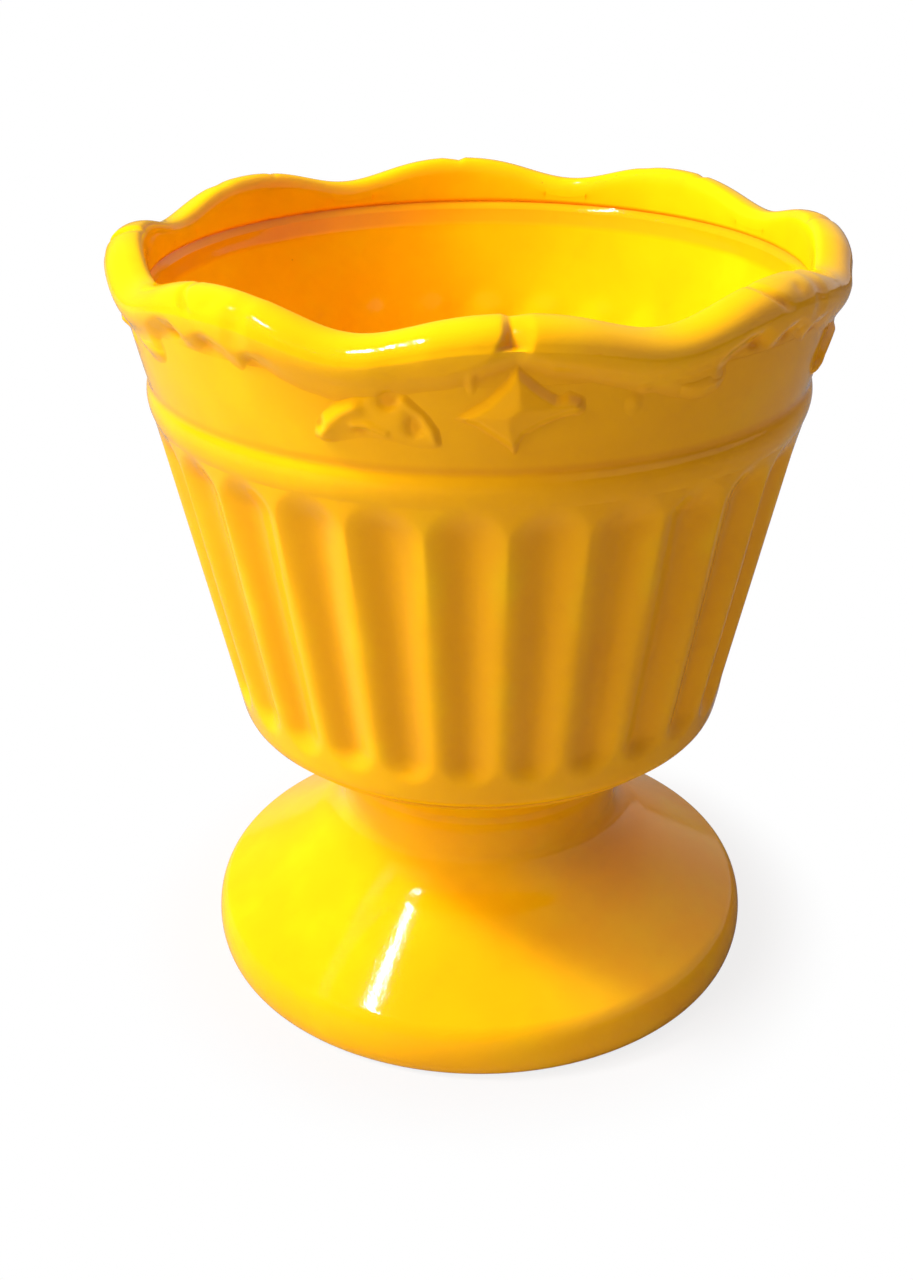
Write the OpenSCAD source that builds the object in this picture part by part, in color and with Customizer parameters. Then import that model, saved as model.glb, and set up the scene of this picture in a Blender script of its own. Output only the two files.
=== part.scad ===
// Footed flower vase of glazed earthenware: a hollow trumpet foot, a thin luting ring,
// a fluted bowl, a plain collar with a bead, a ruffled lip and sprigs pressed on in relief.
// Millimetres, +Z up, origin on the table at the centre of the foot.

/* [Foot] */
// Widest diameter of the foot
foot_d = 120; // [80:1:200]
// How far the foot draws in from its widest line to the table
foot_draw_in = 2; // [0.5:0.1:4]
// Height of the foot's rounded edge
foot_edge_h = 11.9; // [8:0.1:14]
// Slope of the foot's cone, in degrees from the table
cone_slope = 33.5; // [28:0.5:36]
// Diameter of the stem at its waist
waist_d = 60.4; // [54:0.2:66]
// Height of the waist above the table
waist_z = 36; // [34:0.5:42]
// Height of the foot, up to the luting ring
foot_h = 56.2; // [48:0.2:80]
// Thickness of the foot's wall
foot_wall = 5; // [3:0.5:8]
// Width of the bare ring that the foot stands on
foot_ring_w = 6; // [3:0.5:12]

/* [Luting ring] */
// How far the luting ring's rim lies inside the bowl's underside
ring_set_in = 1.2; // [0.4:0.1:4]
// How far the luting ring stands out beyond the stem's top
ring_ledge = 9.4; // [4:0.2:14]
// Thickness of the luting ring
ring_t = 2.6; // [1.5:0.1:5]

/* [Bowl] */
// Diameter of the bowl's flat underside
bowl_base_d = 97.2; // [90:0.2:108]
// How far the rounded lower corner stands out beyond the underside
bowl_corner_out = 3.1; // [2:0.1:6]
// Height of the rounded lower corner
bowl_corner_h = 4; // [2:0.5:8]
// Diameter of the bowl's top, under the collar
bowl_top_d = 129.4; // [120:0.2:150]
// Height of the bowl, up to the collar
bowl_h = 67.7; // [55:0.1:110]
// Thickness of the bowl's wall
bowl_wall = 5.4; // [4.4:0.1:9]
// Thickness of the bowl's floor
floor_t = 6; // [4:0.5:10]

/* [Flutes] */
// Number of flutes round the bowl
flutes = 28; // [16:4:36]
// Depth of a flute
flute_depth = 1.9; // [0.8:0.1:2.4]
// Width of the ridge left between two flutes at the top
flute_ridge_w = 1.9; // [1:0.1:3.5]
// Plain wall above the flutes
flute_top_gap = 0.5; // [0.3:0.1:4]
// Plain wall below the flutes
flute_bottom_gap = 1.5; // [1:0.1:8]

/* [Collar] */
// Height of the collar, up to the joint with the lip
collar_h = 22.5; // [16:0.5:36]
// Height of the bead at the collar's foot
bead_h = 6.5; // [4:0.5:10]
// How far the bead stands out of the wall
bead_out = 0.6; // [0.3:0.1:2.5]
// How far the collar stands out beyond the bowl's top, just above the bead
collar_step = 0.2; // [0:0.1:2]
// How far the collar's wall leans out from its bead to its top
collar_lean = 3.5; // [1:0.1:8]
// Thickness of the collar's wall at its top
collar_wall = 6.2; // [5:0.1:9]

/* [Lip] */
// How far the middle of the lip's roll lies inside the collar's outer skin
lip_set_in = 0.9; // [0.2:0.1:2]
// Thickness of the rolled lip
lip_t = 8.2; // [5:0.2:10]
// Mean height of the roll's middle above the joint
lip_rise = 5.5; // [4.5:0.1:9]
// Height of the ruffle from its middle to a crest
ruffle_h = 1.6; // [0.4:0.1:2.4]
// Depth of the crease on the four main crests
crease_depth = 1.6; // [0.5:0.1:2]
// Depth of the two nicks beside each small knob
nick_depth = 1; // [0.3:0.1:1.6]
// Thickness of the drape that hangs from the lip over the collar
drape_t = 1.3; // [0.6:0.1:2.5]
// How far the drape's longest point hangs below the joint
drape_drop = 5.7; // [3:0.1:9]

/* [Sprigs] */
// Quarters that the ornament repeats in
quarters = 4; // [4]
// Width of the diamond leaf below each main crest
diamond_w = 19.6; // [10:0.2:24]
// Height of the diamond leaf
diamond_h = 12.6; // [8:0.2:16]
// Height of the diamond leaf's crown above the wall
diamond_t = 2; // [1:0.1:3]
// Width of the leaf tuft
tuft_w = 22; // [12:0.2:24]
// Height of the leaf tuft
tuft_h = 8.4; // [5:0.2:11]
// Height of the leaf tuft's crown above the wall
tuft_t = 1.8; // [1:0.1:3]
// Width of the hook leaf
hook_w = 11; // [6:0.2:14]
// Height of the hook leaf
hook_h = 4.2; // [2.5:0.1:6]
// Height of the hook leaf's crown above the wall
hook_t = 1.5; // [0.8:0.1:2.5]
// Thickness of the slip between a sprig and the wall
slip_gap = 0.1; // [0.05:0.05:0.4]

/* [Hidden] */
$fn = 96;

glaze_yellow = [0.98, 0.72, 0.03];
leaf_yellow = [1.0, 0.8, 0.1];
front_angle = -90; // the front faces -Y
cut = 1;
curve_steps = 10;
corner_steps = 5;

// Heights of the joints, one on the other
bowl_z = foot_h + ring_t;
collar_z = bowl_z + bowl_h;
lip_z = collar_z + collar_h;
quarter_angle = 360 / quarters;

// Sizes that follow from those above
ring_r = bowl_base_d / 2 - ring_set_in;
neck_r = ring_r - ring_ledge;
bowl_foot_r = bowl_base_d / 2 + bowl_corner_out;
bowl_top_r = bowl_top_d / 2;

// Places on a curve with two handles between its ends
function bend(a, b, c, d, n = curve_steps) =
    [for (i = [0 : n]) let (t = i / n, u = 1 - t)
        u * u * u * a + 3 * u * u * t * b + 3 * u * t * t * c + t * t * t * d];
function mix(a, b, t) = a + (b - a) * t;
function turned(list) = [for (i = [len(list) - 1 : -1 : 0]) list[i]];
function tail(list) = [for (i = [1 : len(list) - 1]) list[i]];

// Foot: a curve over the rounded edge, up the cone and up the stem, on or inside the outer skin
shoulder_share = 0.958;
cone_top_share = 0.28;
edge_low_shares = [0.022, 0.067];
edge_reach_share = 0.34;
inner_edge_share = 0.5;
stem_corner_share = 0.5;
stem_lift_share = 0.55;
neck_flare_shares = [0.6, 0.2];
slant = [cos(cone_slope), -sin(cone_slope)];

function foot_curve(depth) = let (
    inside = depth > 0,
    base = [foot_d / 2 - foot_draw_in - (inside ? foot_ring_w : 0), 0],
    base_handle = base + [edge_low_shares[0] * foot_d, edge_low_shares[1] * foot_edge_h],
    edge_reach = edge_reach_share * foot_edge_h * (inside ? inner_edge_share : 1),
    low = [foot_d / 2 * shoulder_share, foot_edge_h] - depth * [sin(cone_slope), cos(cone_slope)],
    stem = [waist_d / 2 - depth, waist_z],
    high_r = mix(stem[0], low[0], cone_top_share),
    high = [high_r, low[1] + (low[0] - high_r) * tan(cone_slope)],
    corner_reach = (stem[1] - high[1]) * stem_corner_share,
    neck = [neck_r - depth, foot_h],
    lift = foot_h - waist_z,
    neck_handle = neck - [(neck[0] - stem[0]) * neck_flare_shares[0], lift * neck_flare_shares[1]])
    concat(
        bend(base, base_handle, low + slant * edge_reach, low),
        bend(high, high - slant * corner_reach, stem - [0, corner_reach], stem),
        tail(bend(stem, stem + [0, lift * stem_lift_share], neck_handle, neck)));

module pedestal_foot() {
    color(glaze_yellow)
        rotate_extrude()
            polygon(concat(foot_curve(0), turned(foot_curve(foot_wall))));
}

module luting_ring() {
    color(glaze_yellow)
        translate([0, 0, foot_h])
            difference() {
                cylinder(h = ring_t, r = ring_r);
                translate([0, 0, -cut])
                    cylinder(h = ring_t + 2 * cut, r = neck_r - foot_wall);
            }
}

// Bowl: heights here are above the bowl's underside
corner_handle_share = 0.7;
wall_low = [bowl_foot_r, bowl_corner_h];
wall_high = [bowl_top_r, bowl_h];
wall_lean = atan2(wall_high[0] - wall_low[0], wall_high[1] - wall_low[1]);
function wall_r(z) = mix(wall_low[0], wall_high[0], (z - wall_low[1]) / (wall_high[1] - wall_low[1]));

module bowl_shell() {
    corner = bend([bowl_base_d / 2, 0], [mix(bowl_base_d / 2, bowl_foot_r, corner_handle_share), 0],
                  wall_low - [sin(wall_lean), cos(wall_lean)] * bowl_corner_h / 2, wall_low, corner_steps);
    inner_foot = [wall_r(floor_t) - 2 * bowl_wall, floor_t];
    inner_low = [wall_r(floor_t + bowl_wall) - bowl_wall, floor_t + bowl_wall];
    inner_corner = bend(inner_low, inner_low - [sin(wall_lean), cos(wall_lean)] * bowl_wall / 2,
                        inner_foot + [bowl_wall / 2, 0], inner_foot, corner_steps);
    rotate_extrude()
        polygon(concat([[0, 0]], corner, [wall_high, wall_high - [bowl_wall, 0]],
                       inner_corner, [[0, floor_t]]));
}

// One flute: a tapering round cutter with round ends, laid along the wall
flute_end_steps = 3;
function flute_w(z) = 2 * PI * wall_r(z) / flutes - flute_ridge_w * wall_r(z) / wall_high[0];
function cutter_r(w) = (w * w / 4 + flute_depth * flute_depth) / (2 * flute_depth);

module flute() {
    top_z = bowl_h - flute_top_gap - flute_w(bowl_h) / 2 * cos(wall_lean);
    low_z = flute_bottom_gap + bowl_corner_h + flute_w(bowl_corner_h) / 2 * cos(wall_lean);
    r_top = cutter_r(flute_w(top_z));
    r_low = cutter_r(flute_w(low_z));
    length = (top_z - low_z) / cos(wall_lean);
    low_end = [for (i = [0 : flute_end_steps]) let (a = 90 * i / flute_end_steps)
        r_low * [sin(a), -cos(a)]];
    top_end = [for (i = [0 : flute_end_steps]) let (a = 90 * i / flute_end_steps)
        [0, length] + r_top * [cos(a), sin(a)]];
    translate([wall_r(low_z) - flute_depth + r_low, 0, low_z])
        rotate([0, wall_lean + atan2(r_top - r_low, length), 0])
            rotate_extrude()
                polygon(concat(low_end, top_end));
}

module bowl() {
    color(glaze_yellow)
        translate([0, 0, bowl_z])
            difference() {
                bowl_shell();
                for (i = [0 : flutes - 1])
                    rotate(front_angle + (i + 0.5) * 360 / flutes)
                        flute();
            }
}

// Collar: heights here are above its foot
bead_wall = [bowl_top_r + collar_step, bead_h];
collar_top = [bead_wall[0] + collar_lean, collar_h];
collar_in_r = collar_top[0] - collar_wall;
collar_bend = 0.9;
bead_crown_shares = [1.5, 0.85];
function collar_r(z) = mix(bead_wall[0], collar_top[0],
    pow(max(z - bead_wall[1], 0) / (collar_top[1] - bead_wall[1]), collar_bend));

module collar() {
    crown_r = bead_wall[0] + bead_crown_shares[0] * bead_out;
    bead = bend([bowl_top_r, 0], [crown_r, 0], [crown_r, bead_crown_shares[1] * bead_h], bead_wall);
    wall = [for (i = [1 : curve_steps]) let (z = mix(bead_h, collar_h, i / curve_steps)) [collar_r(z), z]];
    color(glaze_yellow)
        translate([0, 0, collar_z])
            rotate_extrude()
                polygon(concat(bead, wall, [[collar_in_r, collar_h], [bowl_top_r - bowl_wall, 0]]));
}

// Lip: a round roll whose middle rises and falls in two crests to a quarter
lip_r = collar_top[0] - lip_set_in;
lip_steps = 30;
roll_steps = 7;
crests = 2;
roll_from = 205;
roll_to = -40;
crease_half = 4.5;
knob_half = 6;
nick_half = 2.6;
ledge_shares = [0.7, 0.35];
drape_round_shares = [0.8, 0.25];

function folded(angle) = abs(angle - round(angle / quarter_angle) * quarter_angle);
function dip(angle, half) = max(0, 1 - abs(angle) / half);
function knob_side(angle) = abs(folded(angle) - quarter_angle / 2) - knob_half;
function roll_r(angle) = lip_t / 2 - crease_depth * dip(folded(angle), crease_half)
    - nick_depth * dip(knob_side(angle), nick_half);
function roll_z(angle) = lip_rise + ruffle_h * cos(crests * 360 / quarter_angle * angle);

// The drape's lower edge over one quarter: share of the quarter, share of the longest drop
drape_edge_shares = [[0, 0.06], [0.09, 0.2], [0.18, 0.6], [0.22, 0.62], [0.26, 0.45], [0.32, 0.4],
                     [0.36, 0.5], [0.39, 0.1], [0.42, 0.15], [0.45, 0.3], [0.51, 0.1], [0.565, 0.6],
                     [0.59, 0.25], [0.61, 0.2], [0.65, 0.55], [0.73, 0.8], [0.82, 0.72], [0.88, 0.4],
                     [0.94, 0.15], [1, 0.06]];
function drape_low(angle) = let (turn = angle / quarter_angle)
    drape_drop * lookup(turn - floor(turn), drape_edge_shares);

function lip_section(angle) = let (
    middle = [lip_r, roll_z(angle)],
    radius = roll_r(angle),
    low = drape_low(angle),
    skin = collar_r(collar_h - low) + slip_gap)
    concat(
        [[collar_in_r, 0],
         [mix(collar_in_r, lip_r - lip_t / 2, ledge_shares[0]), roll_z(angle) * ledge_shares[1]]],
        [for (i = [0 : roll_steps - 1]) let (a = mix(roll_from, roll_to, i / (roll_steps - 1)))
            middle + radius * [cos(a), sin(a)]],
        [[collar_top[0] + slip_gap + drape_t, 0],
         [skin + drape_t, -low * drape_round_shares[0]],
         [skin + drape_t * drape_round_shares[1], -low],
         [skin, -low],
         [collar_top[0] + slip_gap, 0]]);

function round_point(r, angle, z) = [r * cos(angle + front_angle), r * sin(angle + front_angle), z];

// Triangles that join closed rings of equal length into a ring-shaped skin
function ring_faces(rings, side) = [for (i = [0 : rings - 1]) for (j = [0 : side - 1]) let (
    a = i * side + j,
    b = i * side + (j + 1) % side,
    c = ((i + 1) % rings) * side + (j + 1) % side,
    d = ((i + 1) % rings) * side + j)
    each [[a, c, b], [a, d, c]]];

module ruffled_lip() {
    count = lip_steps * quarters;
    sections = [for (i = [0 : count - 1]) lip_section(i * 360 / count)];
    color(glaze_yellow)
        translate([0, 0, lip_z])
            polyhedron(
                points = [for (i = [0 : count - 1]) for (p = sections[i])
                    round_point(p[0], i * 360 / count, p[1])],
                faces = ring_faces(count, len(sections[0])));
}

// Sprigs: a crowned leaf on the collar's wall, grown from its outline in shares of half its size
sprig_rings = 3;
sprig_edge_share = 0.3;
function sprig_point(place, size, spot, thick) = let (
    z = min(place[1] + spot[1] * size[1] / 2, collar_h - slip_gap),
    r = collar_r(z) + slip_gap + thick,
    angle = place[0] + spot[0] * size[0] / 2 / collar_r(z) * 180 / PI)
    round_point(r, angle, z);

module sprig(outline, place, size, crown) {
    side = len(outline);
    grow_shares = [for (k = [1 : sprig_rings]) k / sprig_rings];
    front = [for (g = grow_shares) for (spot = outline)
        sprig_point(place, size, spot * g, crown * mix(1, sprig_edge_share, g * g))];
    back = [for (g = grow_shares) for (spot = outline) sprig_point(place, size, spot * g, 0)];
    tip = sprig_point(place, size, [0, 0], crown);
    root = sprig_point(place, size, [0, 0], 0);
    half = side * sprig_rings;
    tip_at = 2 * half;
    root_at = tip_at + 1;
    rows = [for (k = [0 : sprig_rings - 2]) for (j = [0 : side - 1]) let (
        a = k * side + j,
        b = k * side + (j + 1) % side)
        each [[a, b + side, a + side], [a, b, b + side],
              [half + a, half + a + side, half + b + side], [half + a, half + b + side, half + b]]];
    caps = [for (j = [0 : side - 1]) let (n = (j + 1) % side, e = half - side)
        each [[tip_at, n, j], [root_at, half + j, half + n],
              [e + j, half + e + n, half + e + j], [e + j, e + n, half + e + n]]];
    translate([0, 0, collar_z])
        polyhedron(points = concat(front, back, [tip, root]), faces = concat(rows, caps));
}

// Outlines run clockwise as seen from outside, in shares of half the width and half the height
diamond_outline_shares = [[0, 1], [0.2, 0.62], [0.5, 0.34], [1, 0.05], [0.55, -0.2], [0.16, -0.45],
                          [0, -1], [-0.2, -0.62], [-0.5, -0.36], [-1, 0], [-0.55, 0.32], [-0.2, 0.64]];
tuft_outline_shares = [[0.45, 1], [0.62, 0.62], [0.8, 0.1], [0.97, -0.55], [0.96, -0.95], [0.7, -1],
                       [0.4, -0.98], [0.15, -0.7], [0, -0.85], [-0.25, -0.95], [-0.45, -0.8], [-0.7, -1],
                       [-1, -0.95], [-0.9, -0.5], [-0.7, 0.1], [-0.4, 0.6], [-0.1, 0.7], [0.2, 0.8]];
hook_outline_shares = [[0, 1], [0.5, 0.9], [0.85, 0.5], [1, -0.2], [0.8, -0.75], [0.2, -1],
                       [-0.4, -0.9], [-0.85, -0.4], [-1, 0.3], [-0.5, 0.8]];
function clockwise(outline) = turned(outline);

// Each sprig hangs just below the drape's edge
function below_drape(angle, height) = [angle, collar_h - drape_low(angle) - slip_gap - height / 2];
diamond_place = below_drape(0.5, diamond_h);
tuft_place = below_drape(-19.6, tuft_h);
hook_place = below_drape(27, hook_h);

module diamond_leaf(n) {
    color(leaf_yellow)
        rotate(n * quarter_angle)
            sprig(clockwise(diamond_outline_shares), diamond_place, [diamond_w, diamond_h], diamond_t);
}

module leaf_tuft(n) {
    color(leaf_yellow)
        rotate(n * quarter_angle)
            sprig(clockwise(tuft_outline_shares), tuft_place, [tuft_w, tuft_h], tuft_t);
}

module hook_leaf(n) {
    color(leaf_yellow)
        rotate(n * quarter_angle)
            sprig(clockwise(hook_outline_shares), hook_place, [hook_w, hook_h], hook_t);
}

pedestal_foot();
luting_ring();
bowl();
collar();
ruffled_lip();
diamond_leaf(0);  // diamond_leaf_1
diamond_leaf(1);  // diamond_leaf_2
diamond_leaf(2);  // diamond_leaf_3
diamond_leaf(3);  // diamond_leaf_4
leaf_tuft(0);  // leaf_tuft_1
leaf_tuft(1);  // leaf_tuft_2
leaf_tuft(2);  // leaf_tuft_3
leaf_tuft(3);  // leaf_tuft_4
hook_leaf(0);  // hook_leaf_1
hook_leaf(1);  // hook_leaf_2
hook_leaf(2);  // hook_leaf_3
hook_leaf(3);  // hook_leaf_4
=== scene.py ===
import math

import bmesh
import bpy
from mathutils import Matrix, Vector


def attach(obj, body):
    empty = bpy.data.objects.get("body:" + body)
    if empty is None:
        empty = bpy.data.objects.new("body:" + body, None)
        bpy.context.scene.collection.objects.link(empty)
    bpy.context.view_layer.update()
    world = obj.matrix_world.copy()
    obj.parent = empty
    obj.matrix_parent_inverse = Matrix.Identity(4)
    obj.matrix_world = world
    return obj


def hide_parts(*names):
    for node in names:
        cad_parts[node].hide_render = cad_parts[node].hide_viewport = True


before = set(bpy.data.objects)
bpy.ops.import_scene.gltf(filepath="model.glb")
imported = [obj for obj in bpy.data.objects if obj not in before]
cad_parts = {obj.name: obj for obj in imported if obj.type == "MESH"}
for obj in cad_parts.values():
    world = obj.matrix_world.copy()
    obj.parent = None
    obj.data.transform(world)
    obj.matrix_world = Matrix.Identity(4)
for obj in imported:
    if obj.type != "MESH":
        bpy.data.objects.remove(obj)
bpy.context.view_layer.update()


# ---- Camera ----
# It stands a little over an arm's length in front of the vase and above its rim, and looks down
# into the mouth, so that the near crest of the lip stands 4.4 degrees to the right of the middle.
camera_away = 0.315
camera_height = 0.229
camera_turn = math.radians(4.4)
camera_tip = math.radians(26.8)
sensor_tall = 36
lens_length = 45.8
lens_shift = -0.018

lens = bpy.data.cameras.new("camera")
lens.sensor_fit = "VERTICAL"
lens.sensor_height = sensor_tall
lens.lens = lens_length
lens.shift_x = lens_shift
camera = bpy.data.objects.new("camera", lens)
camera.location = (-camera_away * math.sin(camera_turn), -camera_away * math.cos(camera_turn), camera_height)
camera.rotation_euler = (math.pi / 2 - camera_tip, 0, -camera_turn)
bpy.context.scene.collection.objects.link(camera)
bpy.context.scene.camera = camera
bpy.context.scene.view_settings.view_transform = "Standard"


# ---- Studio ----
# A plain pale sweep under the vase, in a surround that looks white to the camera and reflects like a
# window on the right. A lamp like the sun and a wide soft light stand on the left, weaker soft lights
# behind and on the right, and a slim lamp high on the left draws the long highlights on the glaze.
surround_white = (1.0, 1.0, 1.0, 1)
surround_fill = (0.19, 0.12, 0.11, 1)
surround_glow = 1.0
surround_in_gloss = 0.05
window_in_gloss = 0.75
window_from = 0.1
window_to = 0.8

sweep_half = 3.0
sweep_colour = (0.55, 0.55, 0.55, 1)
sweep_colour_in_gloss = (0.22, 0.22, 0.22, 1)
sweep_glow = 1.0
glow_share_near = 0.82
glow_share_far = 1.0
shadow_from = 0.061
shadow_to = 0.085

lamps_aim_at = Vector((0, 0, 0.1))


class Tint:
    """One socket of a node tree. Arithmetic on it adds Math nodes, and add() makes any other node."""

    def __init__(self, tree, socket=None):
        self.tree = tree
        self.socket = socket

    def add(self, kind, settings=(), feeds=(), out=0):
        node = self.tree.nodes.new(kind)
        for name, value in dict(settings).items():
            setattr(node, name, value)
        for name, value in dict(feeds).items():
            if isinstance(value, Tint):
                self.tree.links.new(value.socket, node.inputs[name])
            else:
                node.inputs[name].default_value = value
        return Tint(self.tree, node.outputs[out] if node.outputs else None)

    def maths(self, work, *others):
        return self.add("ShaderNodeMath", {"operation": work}, dict(enumerate((self,) + others)))

    def __add__(self, other):
        return self.maths("ADD", other)

    def __sub__(self, other):
        return self.maths("SUBTRACT", other)

    def __rsub__(self, other):
        return self.add("ShaderNodeMath", {"operation": "SUBTRACT"}, {0: other, 1: self})

    def __mul__(self, other):
        return self.maths("MULTIPLY", other)

    def __truediv__(self, other):
        return self.maths("DIVIDE", other)

    def ramp(self, low, high, start=0.0, end=1.0):
        """From start where this is low to end where it is high, with soft ends."""
        return self.add("ShaderNodeMapRange", {"interpolation_type": "SMOOTHSTEP"},
                        {"Value": self, "From Min": low, "From Max": high, "To Min": start, "To Max": end})

    def mix(self, share, colour, other):
        """A colour, with this share of the other one."""
        return self.add("ShaderNodeMix", {"data_type": "RGBA"}, {0: share, 6: colour, 7: other}, out=2)


def emptied(holder):
    """The start of a new node tree in a material or a world."""
    holder.use_nodes = True
    holder.node_tree.nodes.clear()
    return Tint(holder.node_tree)


def seen_as_white(start, in_gloss):
    """1 for rays from the camera and through glass, and in_gloss for what the glaze reflects."""
    seen = start.add("ShaderNodeLightPath", out="Is Camera Ray")
    seen_through = start.add("ShaderNodeLightPath", out="Is Transmission Ray")
    seen_in_gloss = start.add("ShaderNodeLightPath", out="Is Glossy Ray")
    return (seen + seen_through + seen_in_gloss * in_gloss).maths("MINIMUM", 1.0)


surround = bpy.data.worlds.new("surround")
bpy.context.scene.world = surround
start = emptied(surround)
toward = start.add("ShaderNodeTexCoord", out="Generated")
rightward = start.add("ShaderNodeSeparateXYZ", (), {0: toward}, out="X")
window = rightward.ramp(window_from, window_to, surround_in_gloss, window_in_gloss)
tone = start.mix(seen_as_white(start, window), surround_fill, surround_white)
light = start.add("ShaderNodeBackground", (), {"Color": tone, "Strength": surround_glow})
start.add("ShaderNodeOutputWorld", (), {"Surface": light})

sweep_mesh = bpy.data.meshes.new("sweep")
sweep_mesh.from_pydata([(-sweep_half, -sweep_half, 0), (sweep_half, -sweep_half, 0),
                        (sweep_half, sweep_half, 0), (-sweep_half, sweep_half, 0)], [], [(0, 1, 2, 3)])
sweep = bpy.data.objects.new("sweep", sweep_mesh)
bpy.context.scene.collection.objects.link(sweep)
paper = bpy.data.materials.new("sweep_paper")
start = emptied(paper)
in_gloss = start.add("ShaderNodeLightPath", out="Is Glossy Ray")
paper_tone = start.mix(in_gloss, sweep_colour, sweep_colour_in_gloss)
matt = start.add("ShaderNodeBsdfDiffuse", (), {"Color": paper_tone})
glow = start.add("ShaderNodeEmission", (), {"Color": surround_white, "Strength": sweep_glow})
floor_place = start.add("ShaderNodeTexCoord", out="Object")
from_vase = start.add("ShaderNodeVectorMath", {"operation": "LENGTH"}, {0: floor_place}, out="Value")
glow_share = from_vase.ramp(shadow_from, shadow_to, glow_share_near, glow_share_far)
share = seen_as_white(start, surround_in_gloss) * glow_share
both = start.add("ShaderNodeMixShader", (), {0: share, 1: matt, 2: glow})
start.add("ShaderNodeOutputMaterial", (), {"Surface": both})
sweep_mesh.materials.append(paper)


def softbox(name, turn, rise, away, width, height, level, in_gloss=False, lean=0):
    """A rectangle of light: degrees from the camera's side and above the table, metres from the bowl."""
    lamp = bpy.data.lights.new(name, "AREA")
    lamp.shape = "RECTANGLE"
    lamp.size = width
    lamp.size_y = height
    lamp.energy = math.pi ** 2 * level * away ** 2
    box = bpy.data.objects.new(name, lamp)
    side = math.radians(turn) - camera_turn
    up = math.radians(rise)
    aim = Vector((math.sin(side) * math.cos(up), -math.cos(side) * math.cos(up), math.sin(up)))
    box.location = aim * away + lamps_aim_at
    turned = aim.to_track_quat("Z", "Y").to_matrix() @ Matrix.Rotation(math.radians(lean), 3, "Z")
    box.rotation_euler = turned.to_euler()
    box.visible_camera = False
    box.visible_glossy = in_gloss
    bpy.context.scene.collection.objects.link(box)


softbox("sun_lamp", -87, 46, 1.3, 0.22, 0.22, 0.8)
softbox("soft_light_left", -62, 34, 1.3, 0.8, 0.6, 0.76)
softbox("soft_light_behind", -160, 14, 1.3, 0.8, 0.4, 0.3)
softbox("soft_light_right", 128, 52, 1.3, 0.7, 0.7, 0.2)
softbox("high_lamp", -69.5, 58.8, 1.0, 0.25, 0.036, 0.3, in_gloss=True, lean=-28)


# ---- Pedestal foot ----
# A hollow trumpet of slip-cast earthenware: a rounded edge, a cone and a waisted stem. It is cast in
# a plaster mould, luted to the bowl with slip, dipped in yellow glaze and wiped bare where it stands.
mm = 0.001
foot_columns = 360
foot_base_r = 58.0
foot_slope = math.radians(33.5)
foot_shoulder = (57.5, 11.9)
foot_cone_top = (37.84, 24.91)
foot_waist = (30.2, 36.0)
foot_neck = (38.0, 56.2)
edge_reach = 4
edge_end = (foot_shoulder[0] + edge_reach * math.cos(foot_slope),
            foot_shoulder[1] - edge_reach * math.sin(foot_slope))
# Curves from the table up, outside and inside: start, two handles, end, steps
foot_outside = (((foot_base_r, 0), (60.6, 0.8), edge_end, foot_shoulder, 22),
                (foot_shoulder, (50.8, 16.0), (44.2, 20.2), foot_cone_top, 44),
                (foot_cone_top, (33.2, 28.0), (foot_waist[0], 30.4), foot_waist, 20),
                (foot_waist, (foot_waist[0], 47.1), (33.3, 52.2), foot_neck, 26))
foot_inside = (((52.0, 0), (53.4, 0.8), (56.2, 6.5), (54.7, 7.7), 12),
               ((54.7, 7.7), (48, 12.2), (40.5, 17.2), (33.6, 21.7), 8),
               ((33.6, 21.7), (28.4, 25.2), (25.2, 29), (25.2, 36), 10),
               ((25.2, 36), (25.2, 47), (28.5, 52), (33, 56.2), 10))
# The bare face that it stands on, from the inside out
foot_under = [(53.2, 0.0), (55.0, 0.0), (56.8, 0.0)]
# Faint rings that the turning of the model left on the stem: height, rise
stem_rings = ((42.5, 0.22), (35.4, 0.16))
stem_ring_half = 1.3
foot_bare_below = 0.5
bare_edge = 0.3
bare_waver = 0.0006

glaze_yellow = (1.0, 0.475, 0.002, 1)
glaze_lemon = (1.0, 0.62, 0.003, 1)
glaze_pooled_and_shade = (0.8, 0.27, 0.004, 1)
speck_brown = (0.16, 0.06, 0.01, 1)
biscuit_buff = (0.78, 0.66, 0.5, 1)
glaze_ior = 1.48
glaze_shine = 0.25
glaze_rough = 0.045
bare_rough = 0.75
cloud_scale = 38.0
streak_scale = 260.0
peel_scale = 620.0
grain_scale = 1900.0
pinhole_scale = 105.0
relief_strength = 0.22
relief_height = 0.00025
# Noise values between which clouds and streaks change the glaze, and a pinhole is chosen and ends
cloud_thins = (0.45, 0.75)
cloud_thickens = (0.5, 0.25)
streak_thickens = (0.5, 0.8)
pinhole_chosen = (0.93, 0.95)
pinhole_edge = (0.02, 0.045)


def bend(a, b, c, d, steps):
    """Points on a curve from a to d, with handles b and c."""
    points = []
    for i in range(steps + 1):
        t = i / steps
        u = 1 - t
        points.append(tuple(u ** 3 * a[k] + 3 * u * u * t * b[k] + 3 * u * t * t * c[k] + t ** 3 * d[k]
                            for k in (0, 1)))
    return points


def bends(curves):
    """Points on curves that follow each other, each shared end once."""
    points = bend(*curves[0])
    for curve in curves[1:]:
        points += bend(*curve)[1:]
    return points


def smooth(value, low, high):
    """0 at low, 1 at high, with soft ends."""
    t = min(max((value - low) / (high - low), 0.0), 1.0)
    return t * t * (3 - 2 * t)


def bump(value, middle, half):
    """1 at the middle, falling softly to 0 at half on both sides."""
    t = abs(value - middle) / half
    return 0.0 if t >= 1 else (1 - t * t) ** 2


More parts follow.
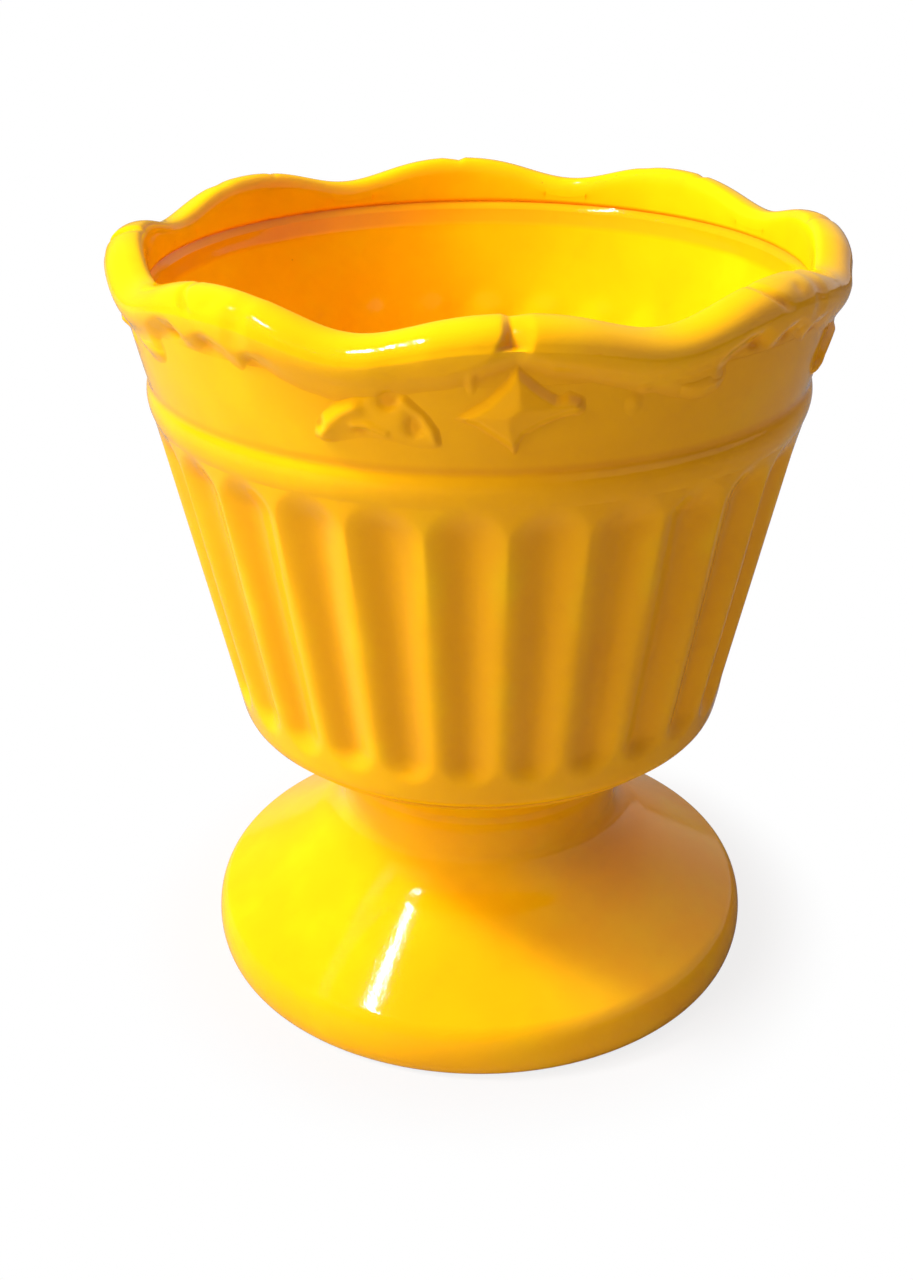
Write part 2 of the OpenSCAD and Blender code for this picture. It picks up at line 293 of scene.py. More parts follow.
def glaze(name, bare_below=None):
    """Glossy yellow glaze: more orange where it pools and where shade is painted in, paler where it is thin and
    where light is painted in, clouded, with a few pinholes.
    """
    finish = bpy.data.materials.new(name)
    start = emptied(finish)
    place = start.add("ShaderNodeTexCoord", out="Object")

    def noise(scale, detail, **more):
        return start.add("ShaderNodeTexNoise", (), {"Vector": place, "Scale": scale, "Detail": detail, **more})

    cloud = noise(cloud_scale, 3.0, Roughness=0.55)
    streak = noise(streak_scale, 2.0)
    peel = noise(peel_scale, 1.0)
    grain = noise(grain_scale, 1.0)
    depth_and_shading = start.add("ShaderNodeAttribute", {"attribute_name": "depth_and_shading"}, out="Fac")
    hole_gap = start.add("ShaderNodeTexVoronoi", (), {"Vector": place, "Scale": pinhole_scale}, out="Distance")
    hole_pick = start.add("ShaderNodeTexVoronoi", (), {"Vector": place, "Scale": pinhole_scale}, out="Color")
    picked = start.add("ShaderNodeSeparateColor", (), {"Color": hole_pick}).ramp(*pinhole_chosen)
    hole = picked * hole_gap.ramp(*pinhole_edge, 1.0, 0.0)
    thin_and_lit = (cloud.ramp(*cloud_thins) * 0.5 - depth_and_shading).maths("MINIMUM", 1.0)
    pooled_and_shaded = (depth_and_shading.maths("MAXIMUM", 0.0) * 0.75 + streak.ramp(*streak_thickens) * 0.06
              + cloud.ramp(*cloud_thickens) * 0.15).maths("MINIMUM", 1.0)
    colour = start.mix(pooled_and_shaded, start.mix(thin_and_lit, glaze_yellow, glaze_lemon), glaze_pooled_and_shade)
    colour = start.mix(hole * 0.85, colour, speck_brown)
    rough = peel * 0.04 + glaze_rough + hole * 0.3
    relief = peel * 0.3 + streak * 0.1 + grain * 0.24 - hole * 2.0
    normal = start.add("ShaderNodeBump", (), {"Height": relief, "Strength": relief_strength,
                                              "Distance": relief_height})
    if bare_below is not None:
        height = start.add("ShaderNodeSeparateXYZ", (), {"Vector": place}, out="Z")
        edge = height + streak * bare_waver - bare_waver / 2
        bare = edge.ramp(bare_below * mm, (bare_below + bare_edge) * mm, 1.0, 0.0)
        colour = start.mix(bare, colour, biscuit_buff)
        rough = rough + bare * bare_rough
    skin = start.add("ShaderNodeBsdfPrincipled", (),
                     {"Base Color": colour, "Roughness": rough, "Normal": normal,
                      "IOR": glaze_ior, "Specular IOR Level": glaze_shine})
    start.add("ShaderNodeOutputMaterial", (), {"Surface": skin})
    return finish


def clay_piece(name, points, faces, finish, node, depth_and_shading=None, crisp=50):
    """One closed piece of clay, with its points in millimetres. It stands for the CAD node it names."""
    mesh = bpy.data.meshes.new(name)
    mesh.from_pydata([(x * mm, y * mm, z * mm) for x, y, z in points], [], faces)
    work = bmesh.new()
    work.from_mesh(mesh)
    bmesh.ops.recalc_face_normals(work, faces=work.faces)
    work.to_mesh(mesh)
    work.free()
    mesh.shade_smooth()
    mesh.set_sharp_from_angle(angle=math.radians(crisp))
    # The glaze's depth at each point, which also carries painted shade in hollows and painted light on the
    # lip's upper face.
    pool_and_shade_layer = mesh.attributes.new("depth_and_shading", "FLOAT", "POINT")
    if depth_and_shading:
        pool_and_shade_layer.data.foreach_set("value", depth_and_shading)
    piece = bpy.data.objects.new(name, mesh)
    bpy.context.scene.collection.objects.link(piece)
    mesh.materials.append(finish)
    if node:
        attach(piece, "root")
        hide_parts(node)
    return piece


def on_wall(turn, r, z):
    """The point at an angle from the front, a radius and a height."""
    return r * math.sin(turn), -r * math.cos(turn), z


def thrown(outline, columns):
    """Points and faces of an outline of (radius, height) turned about the vase's axis."""
    points, faces, rows = [], [], []
    for radius, height in outline:
        if radius == 0:
            rows.append([len(points)] * len(columns))
            points.append((0, 0, height))
        else:
            rows.append(range(len(points), len(points) + len(columns)))
            points.extend(on_wall(turn, radius, height) for turn in columns)
    loops = list(zip(rows, rows[1:]))
    if outline[0][0] and outline[-1][0]:
        loops.append((rows[-1], rows[0]))
    for low, high in loops:
        for i in range(len(columns)):
            j = (i + 1) % len(columns)
            faces.append(list(dict.fromkeys((low[i], low[j], high[j], high[i]))))
    return points, faces


def even(count):
    return [2 * math.pi * i / count for i in range(count)]


outside = [(r + sum(rise * bump(z, middle, stem_ring_half) for middle, rise in stem_rings), z)
           for r, z in bends(foot_outside)]
points, faces = thrown(outside + bends(foot_inside)[::-1] + foot_under, even(foot_columns))
clay_piece("pedestal_foot", points, faces, glaze("foot_glaze", foot_bare_below), "pedestal_foot")


# ---- Luting ring ----
# The thin disc on top of the foot that the bowl is stuck down on with slip. Under the glaze only its
# rounded rim shows, with a fine dark line above it of pooled glaze and painted shade under the bowl.
ring_columns = 240
ring_bore = 33
ring_r = 47.4
ring_low = 56.2
ring_high = 58.8
ring_pool_and_shade = 1.3
ring_pool_and_shade_from = 57.0
ring_pool_and_shade_to = 58.0

rim = bend((45.6, ring_low), (47.2, ring_low), (ring_r, ring_low + 0.5), (ring_r, ring_low + 1.2), 6)
rim += bend((ring_r, ring_low + 1.3), (ring_r, ring_high - 0.4), (47.0, ring_high - 0.1), (46.4, ring_high), 6)
points, faces = thrown([(ring_bore, ring_low)] + rim + [(ring_bore, ring_high)], even(ring_columns))
# A dark band up the rim's top: pooled glaze, and painted shade under the bowl's edge.
depth_and_shading = [ring_pool_and_shade * smooth(z, ring_pool_and_shade_from, ring_pool_and_shade_to) for x, y, z in points]
clay_piece("luting_ring", points, faces, glaze("ring_glaze"), "luting_ring", depth_and_shading)


# ---- Fluted bowl ----
# The slip-cast body of the vase. Its mould has 28 hollow flutes with round ends, and the wall is so
# even that each flute shows again inside as a soft swelling.
bowl_low = 58.8
bowl_wall = 5.4
bowl_floor = 64.8
bowl_corner = 71
bowl_rows_out = 72
bowl_rows_in = 26
wall_low = (51.7, 62.8)
wall_high = (64.7, 126.5)
flute_count = 28
flute_depth = 2.4
flute_low = 64.2
flute_high = 126.6
flute_soft_below = 98
flute_crisp_above = 118
flute_crisp_share = 0.35
# How much more orange the flute channels are: pooled glaze and painted shade.
flute_pool_and_shade = 0.42
flutes_start = 59.5
flutes_full = 64
columns_each = 20
ridge_crowding = 0.075
swelling = 0.8
swelling_start = 66
swelling_full = 80
swelling_top = 132.0
glaze_inside = -0.6


def bowl_r(z):
    return wall_low[0] + (wall_high[0] - wall_low[0]) * (z - wall_low[1]) / (wall_high[1] - wall_low[1])


def flute_tree(finish, labels):
    """Geometry nodes that press the flutes into a plain bowl, and note where the glaze will pool, which also
    paints shade into the flutes.
    """
    tree = bpy.data.node_groups.new("press_flutes", "GeometryNodeTree")
    face = tree.interface
    face.new_socket("Bowl", in_out="INPUT", socket_type="NodeSocketGeometry")
    for label in labels:
        face.new_socket(label, in_out="INPUT", socket_type="NodeSocketFloat")
    face.new_socket("Bowl", in_out="OUTPUT", socket_type="NodeSocketGeometry")
    start = Tint(tree)
    taken = tree.nodes.new("NodeGroupInput")

    def size(label):
        return Tint(tree, taken.outputs[label])

    def part(axis):
        return start.add("ShaderNodeSeparateXYZ", (), {0: place}, out=axis)

    def noted(label):
        return start.add("GeometryNodeInputNamedAttribute", {"data_type": "FLOAT"}, {"Name": label})

    place = start.add("GeometryNodeInputPosition")
    x, y, z = part("X"), part("Y"), part("Z")
    radius = (x * x + y * y).maths("SQRT")
    turns = x.maths("ARCTAN2", 0.0 - y) / (2 * math.pi) * size("Flutes")
    across = turns.maths("SUBTRACT", turns.maths("FLOOR")) - 0.5
    share = (z - size("Low end")) / (size("High end") - size("Low end"))
    wall = size("Low radius") + (size("High radius") - size("Low radius")) * share
    pitch = wall * (2 * math.pi) / size("Flutes")
    half = pitch * 0.5
    beyond = (z - size("High end") + half).maths("MAXIMUM", size("Low end") + half - z).maths("MAXIMUM", 0.0)
    off = across * pitch
    apart = ((off * off + beyond * beyond).maths("SQRT") / half).maths("MINIMUM", 1.0)
    hollow = 1.0 - apart * apart
    rolling = (apart * math.pi).maths("COSINE") * 0.5 + 0.5
    crisp = z.ramp(size("Soft below"), size("Crisp above"), 0.0, flute_crisp_share)
    pressed = (hollow * crisp + rolling * (1.0 - crisp)) * noted("follow")
    push = pressed * size("Flute depth") * wall / size("High radius") / radius * -1.0
    shift = start.add("ShaderNodeCombineXYZ", (), {"X": x * push, "Y": y * push})
    moved = start.add("GeometryNodeSetPosition", (), {"Geometry": size("Bowl"), "Offset": shift})
    pooled_and_shaded = start.add("GeometryNodeStoreNamedAttribute", {"data_type": "FLOAT", "domain": "POINT"},
                       {"Geometry": moved, "Name": "depth_and_shading", "Value": noted("depth_and_shading") + pressed * flute_pool_and_shade})
    real = start.add("GeometryNodeRealizeInstances", (), {"Geometry": pooled_and_shaded})
    glazed = start.add("GeometryNodeSetMaterial", (), {"Geometry": real, "Material": finish})
    given = tree.nodes.new("NodeGroupOutput")
    tree.links.new(glazed.socket, given.inputs[0])
    return tree


def swollen(points):
    """Lets the flutes show inside the wall too, as soft swellings with round ends."""
    moved = []
    for x, y, z in points:
        r = math.hypot(x, y)
        if z > bowl_low + 1 and 1 < r < bowl_r(z) - 1:
            pitch = 2 * math.pi * r / flute_count
            off = ((math.atan2(x, -y) / (2 * math.pi) * flute_count) % 1 - 0.5) * pitch
            beyond = max(z - swelling_top + pitch / 2, 0)
            apart = min(math.hypot(off, beyond) / (pitch / 2), 1)
            rise = swelling * (0.5 + 0.5 * math.cos(math.pi * apart)) * smooth(z, swelling_start, swelling_full)
            x, y = x * (1 - rise / r), y * (1 - rise / r)
        moved.append((x, y, z))
    return moved


bowl_columns = []
for i in range(flute_count * columns_each):
    t = (i % columns_each) / columns_each
    t -= ridge_crowding * math.sin(2 * math.pi * t)
    bowl_columns.append(2 * math.pi * (i // columns_each + t) / flute_count)

outer = bend((48.6, bowl_low), (51.0, bowl_low), (51.3, 60.8), wall_low, 8)
for i in range(1, bowl_rows_out + 1):
    z = wall_low[1] + (wall_high[1] - wall_low[1]) * i / bowl_rows_out
    outer.append((bowl_r(z), z))
inner = []
for i in range(bowl_rows_in + 1):
    z = wall_high[1] - (wall_high[1] - bowl_corner) * i / bowl_rows_in
    inner.append((bowl_r(z) - bowl_wall, z))
inner += bend((bowl_r(bowl_corner) - bowl_wall, bowl_corner), (bowl_r(66) - bowl_wall - 0.6, 67),
              (44.4, bowl_floor), (40, bowl_floor), 8)[1:]
outline = [(0, bowl_low), (30, bowl_low)] + outer + inner + [(25, bowl_floor), (0, bowl_floor)]
points, faces = thrown(outline, bowl_columns)
points = swollen(points)
depth_and_shading, follow = [], []
for x, y, z in points:
    r = math.hypot(x, y)
    depth_and_shading.append(glaze_inside if r < bowl_r(z) - 1 and z > bowl_low + 1 else 0.0)
    follow.append(smooth(z, flutes_start, flutes_full) if r > bowl_r(z) - 1 else 0.0)
bowl_glaze = glaze("bowl_glaze")
bowl = clay_piece("bowl_plain", points, faces, bowl_glaze, None, depth_and_shading)
bowl.data.attributes.new("follow", "FLOAT", "POINT").data.foreach_set("value", follow)
flute_sizes = {"Flutes": flute_count, "Flute depth": flute_depth * mm, "Crisp above": flute_crisp_above * mm,
               "Soft below": flute_soft_below * mm, "Low end": flute_low * mm, "High end": flute_high * mm,
               "Low radius": bowl_r(flute_low) * mm, "High radius": bowl_r(flute_high) * mm}
press = bowl.modifiers.new("press_flutes", "NODES")
press.node_group = flute_tree(bowl_glaze, flute_sizes)
for socket in press.node_group.interface.items_tree:
    if socket.in_out == "INPUT" and socket.name in flute_sizes:
        press[socket.identifier] = float(flute_sizes[socket.name])
bpy.context.view_layer.update()
pressed_mesh = bpy.data.meshes.new_from_object(bowl.evaluated_get(bpy.context.evaluated_depsgraph_get()))
pressed_mesh.name = "bowl"
bpy.data.objects.remove(bowl)
bowl = bpy.data.objects.new("bowl", pressed_mesh)
bpy.context.scene.collection.objects.link(bowl)
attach(bowl, "root")
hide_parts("bowl")


# ---- Collar ----
# The plain band above the flutes, cast in one with a soft bead at its foot. A shallow groove parts
# the bead from the wall, and inside a low strip runs round under the lip.
bead = [(64.7, 126.5), (65.0, 127.2), (65.3, 128.2), (65.5, 129.4), (65.52, 130.4), (65.38, 131.5),
        (65.14, 132.4), (65.06, 133.1), (65.2, 134.0), (65.44, 135.0), (65.676, 136.0)]
bead_steps = 3
collar_strip = [(62.65, 149.0), (62.5, 148.2), (62.3, 147.4), (62.05, 146.6), (61.85, 145.9), (61.78, 145.3)]
collar_foot = 133.0
collar_tall = 16.0
collar_start_r = 64.9
collar_lean = 3.5
collar_curve = 0.9
collar_rows_out = 29
collar_rows_in = 24
groove_z = 133.4
groove_half = 1.4
groove_pool_and_shade = 0.5
strip_from = 145.2
strip_to = 146.6


def collar_r(z):
    share = max(z - collar_foot, 0) / collar_tall
    return collar_start_r + collar_lean * share ** collar_curve


outer = []
for i in range(len(bead) - 1):
    before = bead[max(i - 1, 0)]
    after = bead[min(i + 2, len(bead) - 1)]
    a, b = bead[i], bead[i + 1]
    outer += bend(a, (a[0] + (b[0] - before[0]) / 6, a[1] + (b[1] - before[1]) / 6),
                  (b[0] - (after[0] - a[0]) / 6, b[1] - (after[1] - a[1]) / 6), b, bead_steps)[:-1]
for i in range(collar_rows_out + 1):
    z = bead[-1][1] + (collar_strip[0][1] - bead[-1][1]) * i / collar_rows_out
    outer.append((collar_r(z), z))
inner = [(61.75 - 2.45 * i / collar_rows_in, 144.8 - 18.3 * i / collar_rows_in)
         for i in range(collar_rows_in + 1)]
points, faces = thrown(outer + collar_strip + inner, bowl_columns)
points = swollen(points)
# Outside, the groove is darker, as pooled glaze and painted shade. Inside, the thinner glaze turns darker from
# the strip up, as painted shade under the lip.
depth_and_shading = []
for x, y, z in points:
    outside = math.hypot(x, y) > 64
    depth_and_shading.append(groove_pool_and_shade * bump(z, groove_z, groove_half) if outside
                  else smooth(z, strip_from, strip_to) + glaze_inside)
clay_piece("collar", points, faces, glaze("collar_glaze"), "collar", depth_and_shading)


# ---- Ruffled lip ----
# A thick rolled lip in eight waves, pinched at each of the four main crests and nicked on both sides
# of the four small ones. Below it a thin layer hangs over the collar like cut drapery. It is all one
# casting, so its edges melt into the wall under the glaze.
lip_r = 65.5
lip_z = 154.25
roll_half = 3.95
roll_out = 5.4
roll_in = 2.25
roll_square = 0.76
drape_t = 1.1
drape_sink = 0.04
drape_floor = 141.6
quarter = 90.0
column_step = 1 / 3
deg_mm = 67.0 * math.pi / 180
skin_rows = 40
roll_rows = 24
wave_eight = 1.85
wave_sixteen = -0.26
wave_four = -0.14
crest_swell = 0.2
# The pinch of a main crest and the slit left of a small one, that lean as they run down
pinch_depth = 1.75
pinch_top = 158.0
slit_depth = 0.9
slit_turn = 39.6
slit_top = 159
slit_fades = (155.2, 157.5)
pinch_fades = (4.5, 1.8)
# Small rounded changes of the roll: degrees to the right of the main crest, half width, height
roll_knob = (45, 5.5, 0.05)
roll_dent = (75.2, 4.6, 0.28)
roll_nick = (51.4, 2.6, 0.35)
# How fast the roll tucks in below its widest line, on a crest and more in a valley
tuck = 0.04
tuck_in_valley = 0.085
# How much thinner the drape is in a valley and about a small crest, and how far it melts into the roll
thinner_in_valley = 0.45
thinner_at_knob = (46.5, 13, 0.65)
drape_melt = 0.7
pits_fade = (0.5, 3.0)
no_dips_below = (149.4, 151.4)
# A darker line along the drape's lower edge: pooled glaze, and painted shade under the drape.
edge_pool_and_shade = 0.25
edge_pool_and_shade_half = 1.8
# The roll's glaze is thinner, and its upper face is paler still: thinner glaze, and painted light where the top
# is lit.
glaze_on_roll = -0.15
thinner_and_lit_on_crown = -0.45

# The drape's lower edge over one quarter: degrees to the right of the main crest, height
drape_edge = [(0.2, 152.7), (2.5, 151.9), (5.0, 150.7), (8.4, 149.9), (12.7, 148.4), (17.4, 146.6),
              (20.5, 145.8), (23.4, 144.4), (26.6, 143.9), (29.6, 144.2), (31.5, 145.1), (32.1, 146.6),
              (31.7, 148.2), (32.9, 149.7), (35.5, 151.3), (37.2, 151.5), (38.6, 150.3), (40.2, 149.2),
              (41.6, 149.1), (43.6, 150.1), (45.6, 150.9), (47.4, 150.0), (49.0, 148.5), (50.6, 147.7),
              (51.9, 148.0), (53.4, 149.2), (54.9, 149.2), (56.9, 147.9), (60.5, 146.4), (66.4, 144.9),
              (70.0, 145.2), (73.0, 145.6), (74.4, 147.0), (78.0, 148.0), (82.0, 148.7), (85.0, 150.0),
              (88.0, 151.4), (90.2, 152.7)]
drape_loop = [(d - quarter, z) for d, z in drape_edge[-8:-1]] + drape_edge[:-1]
drape_loop += [(d + quarter, z) for d, z in drape_edge[:8]]
# Small deep pits, drilled at the ends of folds and painted darker as shade: degrees, height, half width, half
# height, depth
drape_pits = ((37.3, 151.2, 1.9, 1.6, 0.55), (44.4, 151.2, 1.7, 2.0, 0.5), (52.7, 149.4, 1.8, 1.7, 0.7),
              (73.1, 146.3, 1.6, 1.5, 1.2))
# Small swellings of the drape beside the diamond leaf: degrees, height, half width, half height, rise
drape_swells = ((84.5, 150.0, 0.8, 2.0, 0.55), (17.3, 144.4, 1.5, 1.9, 0.36), (18.6, 147.0, 1.3, 1.0, 0.3))


def wave(turn):
    a = math.radians(turn)
    return wave_eight * math.cos(8 * a) + wave_sixteen * math.cos(16 * a) + wave_four * math.cos(4 * a)


def fold(turn, middle):
    """Degrees from the nearest of the four places like this one."""
    return (turn - middle + quarter / 2) % quarter - quarter / 2


def rounded(turn, middle, half, height):
    """A rounded change about each of four like places."""
    return height * bump(fold(turn, middle), 0, half)


def facet(off, left, right):
    """1 in the middle of a cut with straight sides, 0 at its left and right end."""
    return max(0.0, 1 - abs(off) / (left if off < 0 else right))


def nick(turn, z):
    """How deep the pinch of a main crest, or a nick beside a small one, cuts the roll's outer side."""
    down = max(pinch_top - z, 0)
    wedge = facet(fold(turn, 0.13 * down - 0.35), 1.2 + 0.55 * down, max(3.3 - 0.4 * down, 1.0))
    slit = slit_depth * facet(fold(turn, slit_turn + slit_top - z), 1.2, 1.7) * smooth(z, *slit_fades)
    return pinch_depth * wedge ** 1.1 + slit + rounded(turn, *roll_nick)


def roll(turn):
    """Half the height of the roll, a little more at each crest."""
    return roll_half + crest_swell * math.cos(math.radians(8 * turn)) + rounded(turn, *roll_knob)


def lip_out(turn):
    """How far the roll stands out, with a shallow dent in one fold."""
    return roll_out - rounded(turn, *roll_dent)


def near_line(turn, z, line):
    """Square of the distance in millimetres from a line on the wall, and how often it passes below."""
    nearest, below = 1e9, 0
    for (a, low), (b, high) in zip(line, line[1:]):
        ax, bx = (a - turn) * deg_mm, (b - turn) * deg_mm
        ay, by = low - z, high - z
        length = (bx - ax) ** 2 + (by - ay) ** 2
        t = min(max(-(ax * (bx - ax) + ay * (by - ay)) / length, 0.0), 1.0)
        nearest = min(nearest, (ax + t * (bx - ax)) ** 2 + (ay + t * (by - ay)) ** 2)
        if (ax <= 0 < bx or bx <= 0 < ax) and ay - ax * (by - ay) / (bx - ax) < 0:
            below += 1
    return nearest, below


def gap_to(turn, z, line):
    """Distance in millimetres from an edge or an outline, positive above the edge or inside the outline."""
    nearest, below = near_line(turn, z, line)
    return math.sqrt(nearest) * (1 if below % 2 else -1)


def pit(turn, z, pits):
    """Depth of the deepest of some round hollows, or rise of some swellings, at a place."""
    deepest = 0.0
    for middle, level, wide, tall, depth in pits:
        off = math.hypot(fold(turn, middle) * deg_mm / wide, (z - level) / tall)
        if off < 1.7:
            deepest = max(deepest, depth * math.exp(-1.6 * off * off))
    return deepest


def soft_max(a, b, ease):
    """The larger of two values, with a soft change from one to the other."""
    return (a + b + math.sqrt((a - b) ** 2 + ease * ease)) / 2


def skin(turn, z):
    """Outer radius of the lip and its drape below the roll's widest line, and the depth of the glaze, with
    painted shade along the drape's edge and in the pits.
    """
    sink = max(lip_z + wave(turn) - z, 0)
    wall_r = collar_r(z)
    valley = 0.5 - 0.5 * math.cos(math.radians(8 * turn))
    round_r = lip_r + lip_out(turn) - (tuck + tuck_in_valley * valley) * sink ** 2
    round_r -= nick(turn, z) * smooth(sink, *pinch_fades)
    cloth = drape_t - thinner_in_valley * valley - rounded(turn, *thinner_at_knob)
    layer = soft_max(round_r - wall_r, cloth, drape_melt)
    gap = gap_to(turn, z, drape_loop)
    under = smooth(sink, *pits_fade)
    sunk = pit(turn, z, drape_pits)
    rise = layer * smooth(gap, -0.5, 2.4 + 0.5 * layer) + (pit(turn, z, drape_swells) - sunk) * under
    if rise < 0:
        rise *= smooth(z, *no_dips_below)
    pooled_and_shaded = edge_pool_and_shade * bump(gap, 0.0, edge_pool_and_shade_half) + min(0.8 * sunk, 1.0)
    return wall_r - drape_sink + rise, pooled_and_shaded * under


# The lip's inner and lower side, where it sits on the collar: radius, height, depth of the glaze and painted
# shade
lip_seat = ((63.3, 152.6, -0.6), (63.34, 151.4, -0.6), (63.42, 150.85, 0.4), (63.75, 150.5, 1.0),
            (63.5, 150.2, 0.7), (63.15, 149.8, 0.4), (62.85, 149.4, 0.4), (62.65, 149.0, 0.4),
            (64.5, 148.5, 0.0), (collar_r(drape_floor) - 1.2, drape_floor, 0.0))
quarter_columns = round(quarter / column_step)
sections = []
for i in range(quarter_columns):
    turn = i * column_step
    half = roll(turn)
    level = lip_z + wave(turn)
    section = []
    for j in range(skin_rows):
        z = drape_floor + (level - drape_floor) * j / skin_rows
        r, pooled_and_shaded = skin(turn, z)
        section.append((r, z, pooled_and_shaded + glaze_on_roll * smooth(z, level - 4, level)))
    for j in range(roll_rows + 1):
        a = 180 * j / roll_rows
        out, up = math.cos(math.radians(a)), math.sin(math.radians(a))
        cut = nick(turn, level + half * up)
        cut += 0.35 * math.exp(-((fold(turn, 46.2) / 1.3) ** 2) - ((a - 40) / 16) ** 2)
        if a > 90:
            out, up = -abs(out) ** roll_square, up ** roll_square
        cut *= 1 - 0.5 * smooth(a, 40, 90) - 0.5 * smooth(a, 90, 165)
        reach = lip_out(turn) - cut if a < 90 else roll_in
        # Thinner glaze on the roll, paler still on its upper face as painted light, and darker in the nicks as
        # pooled glaze and painted shade.
        depth = glaze_on_roll + thinner_and_lit_on_crown * smooth(a, 25, 70) + 0.5 * min(cut, 1.0) * smooth(a, 120, 60)
        section.append((lip_r + reach * out, level + (half - 0.6 * cut) * up, depth))
    sections.append(section + list(lip_seat))

points, faces, depth_and_shading = [], [], []
side = len(sections[0])
column_count = quarter_columns * 4
for i in range(column_count):
    section = sections[i % quarter_columns]
    points += [on_wall(math.radians(i * column_step), r, z) for r, z, depth in section]
    depth_and_shading += [depth for r, z, depth in section]
    n = (i + 1) % column_count
    for j in range(side):
        k = (j + 1) % side
        faces.append((i * side + j, n * side + j, n * side + k, i * side + k))
clay_piece("ruffled_lip", points, faces, glaze("lip_glaze"), "ruffled_lip", depth_and_shading, crisp=70)


# ---- Sprigs ----
# Leaves pressed in small moulds and stuck on the collar with slip while the clay is damp, four of
# each kind. The glaze has run over them, so that they rise softly out of the wall.
sprig_step = 0.36
sprig_depth = 1.0
sprig_margin = 1.2
leaf_glaze = glaze("sprig_glaze")


def crest(turn, z, line, half_width):
    """1 on a raised line, falling softly to 0 beside it."""
    return math.exp(-near_line(turn, z, line)[0] / half_width ** 2)


def leaf(name, loop, shape):
    """Four like sprigs from one outline. shape gives a leaf's radius and glaze depth, with painted shade at its
    edge and in its hollows, from place and gap.
    """
    turns, heights = [p[0] for p in loop], [p[1] for p in loop]
    low_turn, high_turn = min(turns) - sprig_margin, max(turns) + sprig_margin
    low_z, high_z = min(heights) - sprig_margin, max(heights) + sprig_margin
    wide = round((high_turn - low_turn) * deg_mm / sprig_step)
    tall = round((high_z - low_z) / sprig_step)
    front, pooled_and_shaded = [], []
    for i in range(wide + 1):
        for j in range(tall + 1):
            turn = low_turn + (high_turn - low_turn) * i / wide
            z = low_z + (high_z - low_z) * j / tall
            r, depth = shape(turn, z, gap_to(turn, z, loop + loop[:1]))
            front.append((turn, r, z))
            pooled_and_shaded.append(depth)
    flat = len(front)
    rows = tall + 1
    faces = []
    for i in range(wide):
        for j in range(tall):
            a = i * rows + j
            faces.append((a, a + rows, a + rows + 1, a + 1))
            faces.append((flat + a, flat + a + 1, flat + a + rows + 1, flat + a + rows))
    rim = [i * rows for i in range(wide + 1)] + [wide * rows + j for j in range(1, tall + 1)]
    rim += [i * rows + tall for i in range(wide - 1, -1, -1)] + list(range(tall - 1, 0, -1))
    for a, b in zip(rim, rim[1:] + rim[:1]):
        faces.append((a, flat + a, flat + b, b))
    for n in range(4):
        points = [on_wall(math.radians(turn + n * quarter), r, z) for turn, r, z in front]
        points += [on_wall(math.radians(turn + n * quarter), min(r, collar_r(z)) - sprig_depth, z)
                   for turn, r, z in front]
        piece = f"{name}_{n + 1}"
        clay_piece(piece, points, faces, leaf_glaze, piece, pooled_and_shaded * 2, crisp=60)


# ---- Diamond leaf ----
# A four-pointed leaf with a swollen middle, its top tucked up into the pinch of the main crest.
# The outline and the lines on the leaves are in degrees to the right of the main crest, and heights.
diamond_loop = [(0.4, 153.2), (-1.2, 150.0), (-3.6, 146.9), (-8.1, 143.3), (-5.0, 141.9), (-2.6, 139.9),
                (-0.3, 137.8), (0.7, 136.2), (1.2, 138.6), (2.0, 140.3), (4.2, 141.8), (6.6, 142.9),
                (9.0, 143.6), (10.0, 144.8), (9.4, 146.3), (7.6, 147.0), (6.0, 147.2), (3.6, 149.2),
                (1.6, 151.5)]
diamond_curl = [(7.6, 146.7), (9.1, 145.8), (9.2, 144.4)]


def diamond_shape(turn, z, gap):
    base = collar_r(z) - drape_sink
    climb = smooth(z, 147.5, 151.0)
    if climb > 0:
        base += (skin(turn, z)[0] - drape_sink - base) * climb
    swell = smooth(gap, -0.2, 1.7) + smooth(gap, 0.4, 5.5) + 0.35 * crest(turn, z, diamond_curl, 0.8)
    # The leaf's edge is painted darker, as pooled glaze and as shade where it meets the wall.
    return base + swell, 0.3 * bump(gap, 0.0, 1.2)


leaf("diamond_leaf", diamond_loop, diamond_shape)


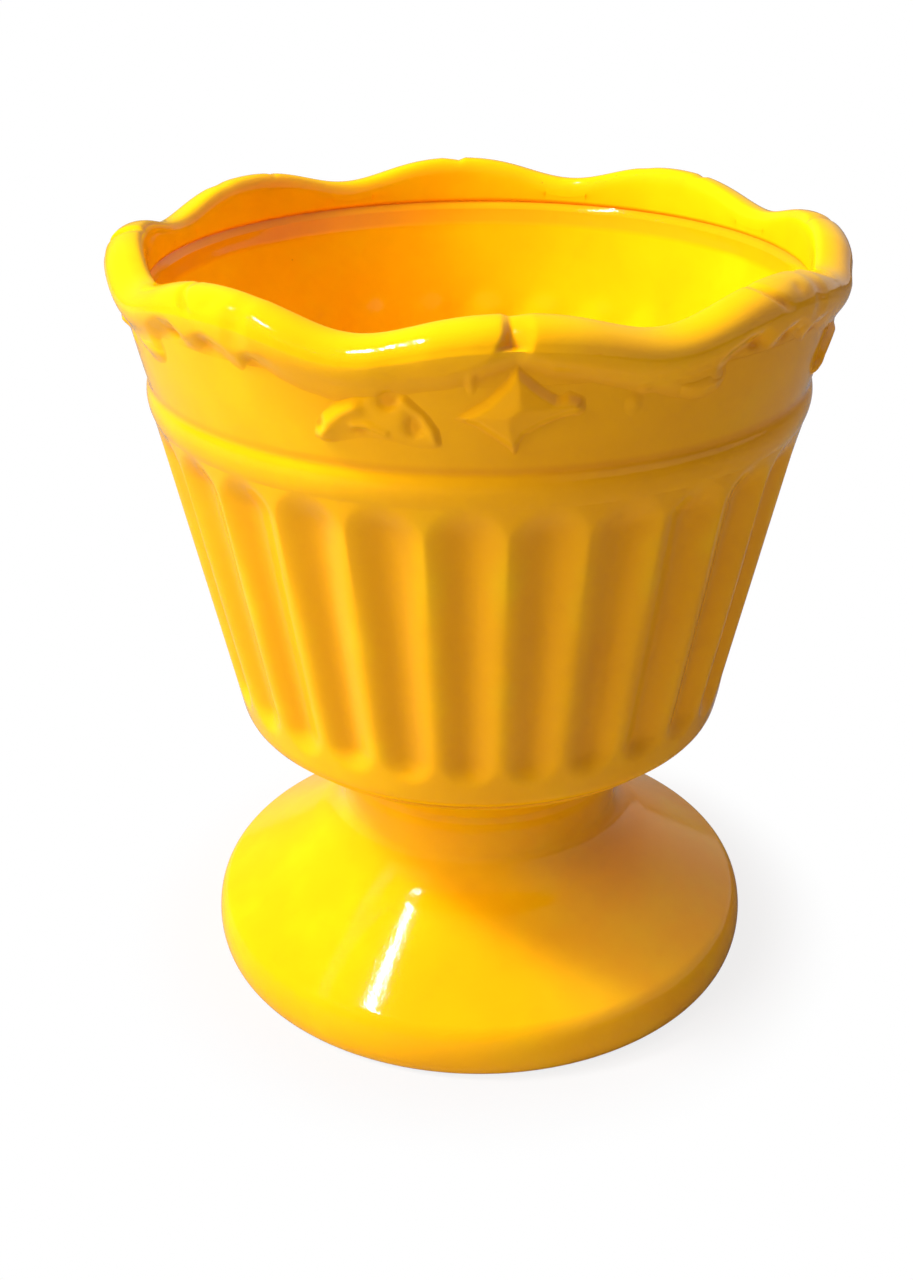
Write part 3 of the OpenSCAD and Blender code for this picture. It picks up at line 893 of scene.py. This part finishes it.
# ---- Leaf tuft ----
# Three lobes that hang from one point of the drape, to the left of each diamond, with drilled hollows painted
# darker as shade.
# Its left wing and its right rim stand up, and a short curl lies between them.
tuft_loop = [(-22.6, 146.2), (-24.6, 144.8), (-26.6, 142.6), (-28.2, 140.0), (-28.4, 138.2), (-27.0, 137.6),
             (-24.0, 137.7), (-21.4, 138.6), (-18.5, 138.8), (-16.0, 138.2), (-13.4, 137.5), (-11.2, 137.4),
             (-9.9, 138.4), (-9.8, 140.8), (-11.2, 143.6), (-13.2, 146.0), (-15.0, 148.4), (-18.0, 149.0),
             (-20.6, 148.2)]
tuft_pits = ((-16.9, 146.2, 1.7, 1.7, 1.3), (-21.2, 140.1, 1.4, 0.8, 0.9), (-13.4, 141.6, 1.7, 2.4, 0.9),
             (-27.4, 141.0, 0.9, 1.4, 0.8))
tuft_wing = [(-26.8, 138.8), (-25.8, 141.2), (-23.8, 143.2), (-21.8, 144.6)]
tuft_rim = [(-14.6, 146.2), (-12.4, 143.7), (-10.9, 141.0), (-10.5, 138.9)]
tuft_curl = [(-21.8, 141.3), (-20.0, 141.6), (-17.6, 140.2)]


def tuft_shape(turn, z, gap):
    sunk = pit(turn, z, tuft_pits)
    swell = 0.4 * smooth(gap, -0.4, 2.8) + 0.3 * smooth(gap, 0.5, 3.6) + 0.9 * crest(turn, z, tuft_wing, 1.5)
    swell += 0.5 * crest(turn, z, tuft_rim, 0.75) + 0.45 * crest(turn, z, tuft_curl, 0.7)
    rise = swell * smooth(gap, -0.6, 0.5) * smooth(149.4 - z, 0.0, 3.2)
    r = collar_r(z) - drape_sink + max(rise - sunk, min(rise, 0.1))
    return r, 0.2 * bump(gap, 0.0, 1.4) + 0.6 * min(sunk, 1.0)


leaf("leaf_tuft", tuft_loop, tuft_shape)


# ---- Hook leaf ----
# A small rounded leaf that curls up at its right end, below the drape to the right of each diamond.
# A drilled hollow, painted darker as shade, marks the curl.
hook_loop = [(21.6, 147.8), (22.4, 145.8), (24.2, 144.3), (26.6, 143.3), (29.0, 143.2), (31.2, 143.9),
             (32.2, 145.0), (32.6, 146.6), (32.2, 148.2), (31.0, 149.6), (28.6, 149.6), (26.0, 148.8),
             (24.0, 148.8)]
hook_pits = ((30.8, 147.0, 1.6, 1.0, 0.5),)


def hook_shape(turn, z, gap):
    sunk = pit(turn, z, hook_pits)
    swell = 0.6 * smooth(gap, -0.4, 2.4) + 0.3 * smooth(gap, 0.5, 3.0)
    r = collar_r(z) - drape_sink + max(swell - sunk, min(swell, 0.1))
    return r, 0.3 * bump(gap, 0.0, 1.2) + 0.6 * sunk


leaf("hook_leaf", hook_loop, hook_shape)
